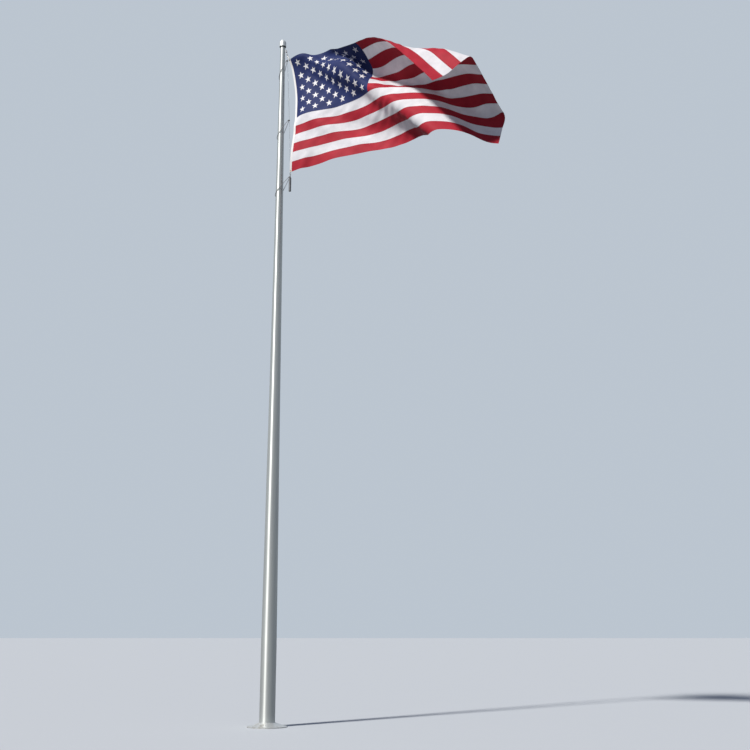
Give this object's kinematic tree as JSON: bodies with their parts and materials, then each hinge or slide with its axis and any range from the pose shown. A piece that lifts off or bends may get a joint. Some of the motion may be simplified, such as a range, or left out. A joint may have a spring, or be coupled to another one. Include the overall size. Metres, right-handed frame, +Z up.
{
  "type": "flagpole",
  "caption": "Cone-tapered aluminium flagpole with a revolving truck, an internal halyard and a striped flag flying in the wind from a sling with retainer loops and a counterweight.",
  "frame": {"origin": "centre of the pole's foot at ground level", "axes": "+Z up along the pole's axis, -Y towards the side that the picture shows, +X to its right"},
  "size_m": [4.1599, 3.1267, 12.301],
  "materials": {
    "pole_finish": "satin clear anodised",
    "collar_finish": "spun, satin",
    "cast_aluminium": "satin cast",
    "steel": "stainless, weathered",
    "wire_rope": "stranded stainless wire",
    "brass": "dull brass",
    "nylon": "cast nylon",
    "stop_grey": "moulded rubber, grey",
    "cover_white": "soft vinyl",
    "loop_cover": "weathered vinyl over cable",
    "clip_black": "moulded nylon",
    "weight_grey": "vinyl-dipped steel",
    "canvas": "canvas heading tape",
    "flag_red": "nylon bunting",
    "flag_white": "nylon bunting",
    "flag_blue": "nylon bunting"
  },
  "bodies": {
    "pole": {"access_door": "pole_finish", "door_frame": "pole_finish", "door_lock": "steel", "flash_collar_left": "collar_finish", "flash_collar_right": "collar_finish", "pole_shaft": "pole_finish", "spindle_nut": "steel", "truck_bearing": "steel", "truck_spindle": "cast_aluminium", "winch_drum": "steel", "winch_frame": "steel"},
    "truck": {"counterweight": "weight_grey", "flag_canton": "flag_blue", "flag_heading": "canvas", "flag_red_stripes": "flag_red", "flag_white_stripes": "flag_white", "halyard_cable": "wire_rope", "halyard_stop": "stop_grey", "heading_grommets": "brass", "lower_loop_clip": "clip_black", "lower_retainer_loop": "loop_cover", "lower_snap": "steel", "middle_loop_clip": "clip_black", "middle_retainer_loop": "loop_cover", "sheave": "nylon", "sheave_axle": "steel", "sling_cable": "wire_rope", "sling_ends": "steel", "snap_cover": "cover_white", "truck_hood": "cast_aluminium", "upper_link": "steel", "upper_loop_clip": "clip_black", "upper_retainer_loop": "loop_cover", "upper_snap": "steel"}
  },
  "joints": [
    {"name": "truck_swivel", "type": "hinge", "parent": "pole", "child": "truck", "pos_m": [0, 0, 12.2], "axis": [0, 0, 1], "continuous": true}
  ]
}
